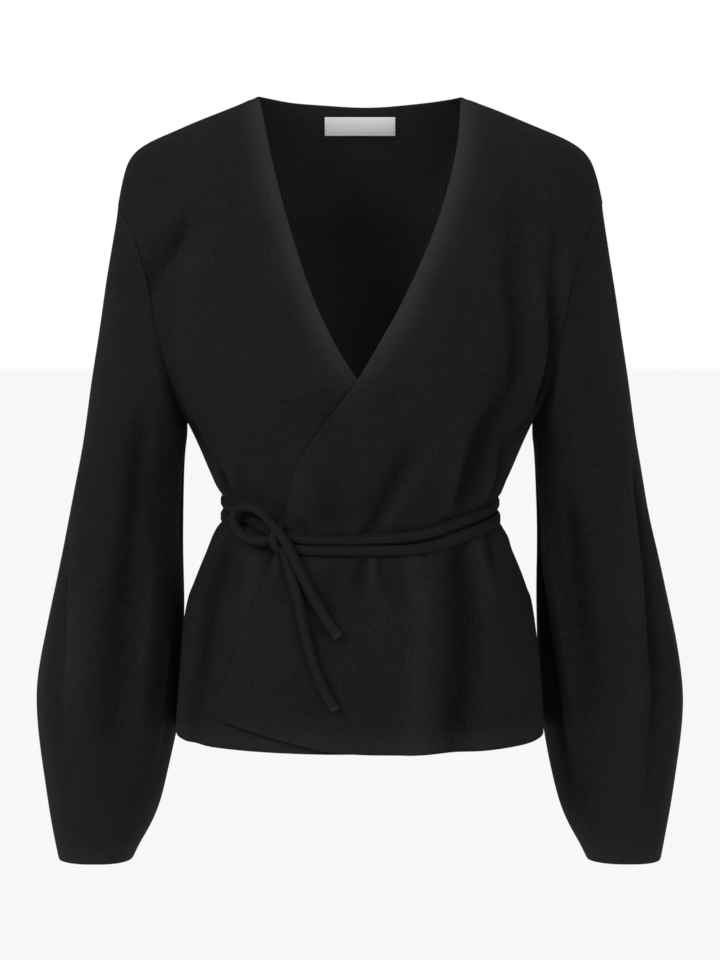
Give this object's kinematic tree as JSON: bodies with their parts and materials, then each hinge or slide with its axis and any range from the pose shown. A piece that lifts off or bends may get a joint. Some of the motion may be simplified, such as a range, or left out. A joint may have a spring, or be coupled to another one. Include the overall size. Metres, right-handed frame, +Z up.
{
  "type": "wrap cardigan",
  "caption": "Fine black knit wrap cardigan with a deep V neck, full sleeves gathered to narrow cuffs and a cord belt tied in a half bow at the waist.",
  "frame": {"origin": "midway between the two high shoulder points, where a hanger or a wearer's shoulders hold the garment", "axes": "+Z up from the hem to the neck, the front faces -Y, +X is the wearer's left"},
  "size_m": [0.5904, 0.243, 0.6938],
  "materials": {
    "black_fine_knit": "matte fine-gauge knit",
    "black_knitted_cord": "matte knitted tubular cord",
    "white_woven_label": "smooth satin weave, blank"
  },
  "bodies": {
    "root": {"back": "black_fine_knit", "front_under": "black_fine_knit", "front_over": "black_fine_knit", "sleeve_right": "black_fine_knit", "sleeve_left": "black_fine_knit", "neck_label": "white_woven_label", "belt_upper": "black_knitted_cord", "belt_lower": "black_knitted_cord", "bow_knot": "black_knitted_cord", "bow_loop": "black_knitted_cord", "tail_front": "black_knitted_cord", "tail_back": "black_knitted_cord"}
  },
  "joints": []
}
